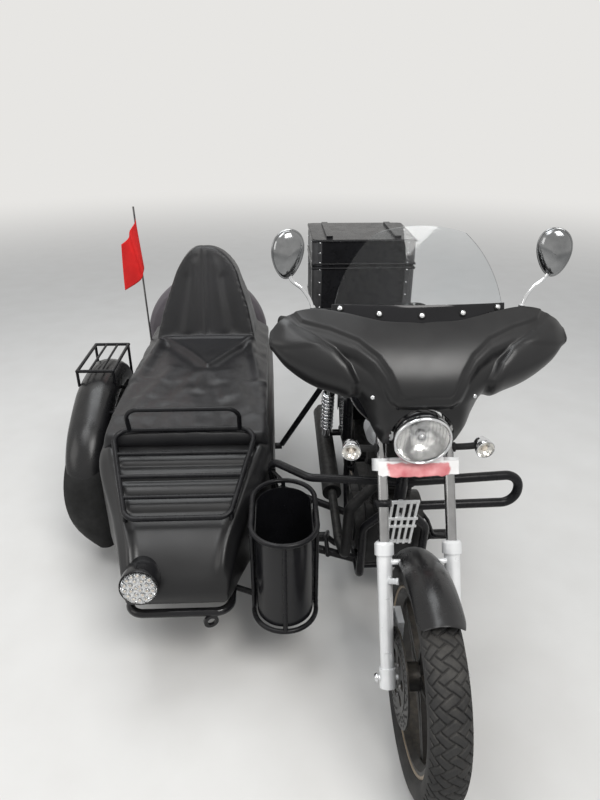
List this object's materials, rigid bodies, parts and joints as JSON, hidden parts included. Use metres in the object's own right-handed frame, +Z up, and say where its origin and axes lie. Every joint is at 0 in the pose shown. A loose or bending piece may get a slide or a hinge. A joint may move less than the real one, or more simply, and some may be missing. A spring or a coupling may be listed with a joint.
{
  "type": "sidecar motorcycle",
  "caption": "Small cruiser motorcycle with a fork-mounted batwing fairing, top box and a covered passenger sidecar on its right side.",
  "frame": {"origin": "middle of the footprint, on the floor", "axes": "+Z up, the front faces -Y, the sidecar lies at -X"},
  "size_m": [1.627, 2.3742, 1.4317],
  "materials": {
    "black_paint": "satin black paint",
    "gloss_black_paint": "gloss black paint",
    "matte_black_shell": "matte black",
    "chrome": "polished",
    "silver_alloy": "silver paint on cast alloy",
    "engine_alloy": "black heat-proof paint on castings",
    "dark_steel": "worn steel",
    "tyre_rubber": "dusty rubber",
    "black_rubber": "rubber",
    "cover_leather": "black leather cloth",
    "seat_leather": "black seat leather",
    "flag_cloth": "plain red cloth",
    "clear_screen": "clear",
    "lamp_glass": "clear, fluted",
    "bin_plastic": "black plastic",
    "red_lens": "red lens"
  },
  "bodies": {
    "frame": {"main_frame": "black_paint", "engine_case": "engine_alloy", "engine_cylinder": "engine_alloy", "fuel_tank": "gloss_black_paint", "rider_seat": "seat_leather", "side_panels": "gloss_black_paint", "rear_mudguard": "gloss_black_paint", "swingarm": "black_paint", "chain_case": "black_paint", "rear_shocks": "chrome", "exhaust": "black_paint", "engine_guard": "black_paint", "slatted_guard": "silver_alloy", "foot_controls": "black_paint", "rear_rack": "black_paint", "top_box": "black_paint", "tail_lamp": "red_lens", "sidecar_chassis": "black_paint", "sidecar_struts": "black_paint", "sidecar_suspension": "dark_steel", "sidecar_tub": "matte_black_shell", "tonneau_cover": "cover_leather", "nose_rack": "black_paint", "nose_bumper": "gloss_black_paint", "nose_lamp": "matte_black_shell", "nose_lamp_lens": "lamp_glass", "sidecar_mudguard": "gloss_black_paint", "mudguard_rack": "black_paint", "flag_pole": "dark_steel", "flag": "flag_cloth", "basket_cage": "black_paint", "basket_bin": "bin_plastic", "spare_wheel": "cover_leather", "carburettor": "silver_alloy"},
    "steering": {"fork_tubes": "chrome", "fork_sliders": "silver_alloy", "fork_yokes": "silver_alloy", "handlebar": "black_rubber", "fairing": "matte_black_shell", "windscreen": "clear_screen", "headlamp": "chrome", "headlamp_lens": "lamp_glass", "turn_signals": "chrome", "mirrors": "chrome", "front_mudguard": "black_paint", "screen_band": "bin_plastic", "gauge": "bin_plastic"},
    "front_wheel": {"front_tyre": "tyre_rubber", "front_rim": "silver_alloy"},
    "rear_wheel": {"rear_tyre": "tyre_rubber", "rear_rim": "silver_alloy"},
    "sidecar_wheel": {"sidecar_tyre": "tyre_rubber", "sidecar_rim": "silver_alloy"},
    "lid": {"top_box_lid": "black_paint"}
  },
  "joints": [
    {"name": "steering", "type": "hinge", "parent": "frame", "child": "steering", "pos_m": [0.41, -0.48192, 0.86912], "axis": [0, 0.515, 0.8572], "range_deg": [-32, 32]},
    {"name": "front_wheel_spin", "type": "hinge", "parent": "steering", "child": "front_wheel", "pos_m": [0.41, -0.875, 0.312], "axis": [1, 0, 0], "continuous": true},
    {"name": "rear_wheel_spin", "type": "hinge", "parent": "frame", "child": "rear_wheel", "pos_m": [0.41, 0.495, 0.303], "axis": [1, 0, 0], "continuous": true},
    {"name": "sidecar_wheel_spin", "type": "hinge", "parent": "frame", "child": "sidecar_wheel", "pos_m": [-0.725, 0.295, 0.29], "axis": [1, 0, 0], "continuous": true},
    {"name": "lid_hinge", "type": "hinge", "parent": "frame", "child": "lid", "pos_m": [0.41, 0.625, 1.062], "axis": [1, 0, 0], "range_deg": [0, 100]}
  ]
}
